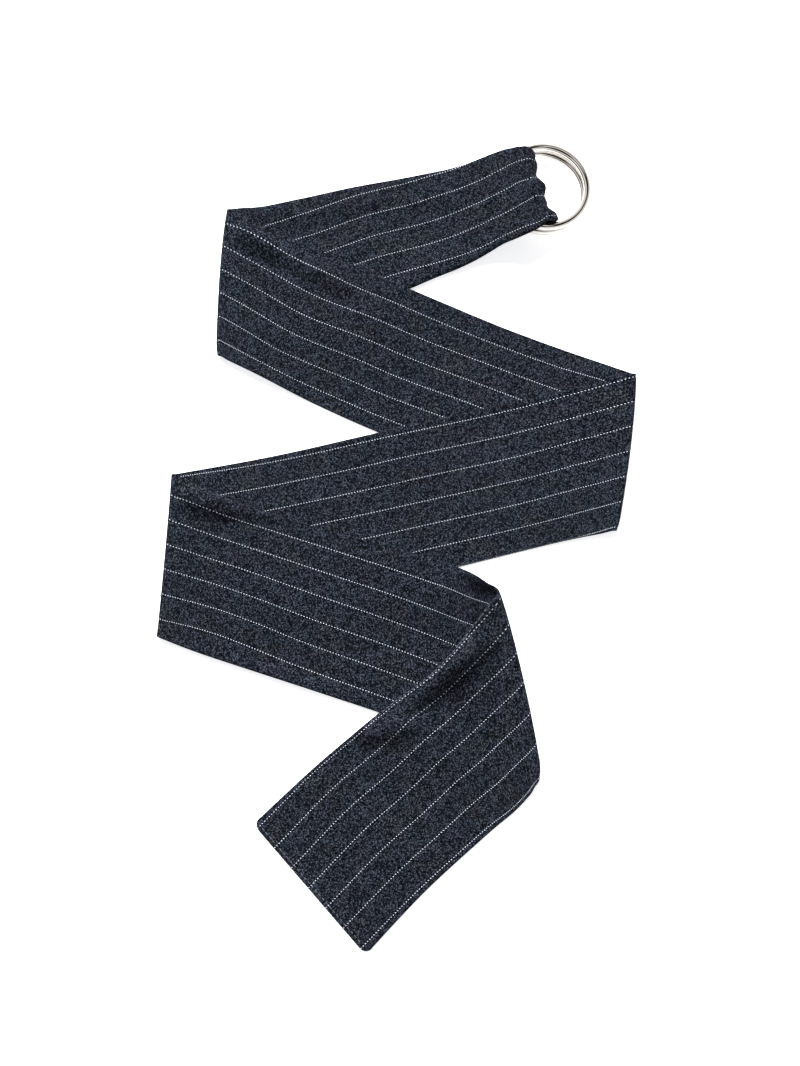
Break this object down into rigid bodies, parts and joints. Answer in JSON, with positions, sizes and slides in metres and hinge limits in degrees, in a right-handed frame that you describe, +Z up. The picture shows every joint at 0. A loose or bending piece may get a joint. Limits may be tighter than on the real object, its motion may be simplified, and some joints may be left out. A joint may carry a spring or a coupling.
{
  "type": "striped cloth sash belt with two rings",
  "caption": "Striped suiting sash belt laid in a zigzag, with metal rings held in a gathered end loop and a plain free end.",
  "frame": {"origin": "middle of the whole belt as it lies, on the surface that it lies on", "axes": "+X to the right, +Y towards the rings, +Z up from the surface"},
  "size_m": [0.2484, 0.4189, 0.0157],
  "materials": {
    "suiting": "matt twill with fine white dotted pinstripes",
    "nickel": "polished nickel plate"
  },
  "bodies": {
    "root": {"belt_band": "suiting", "ring_lower": "nickel", "ring_upper": "nickel"}
  },
  "joints": []
}
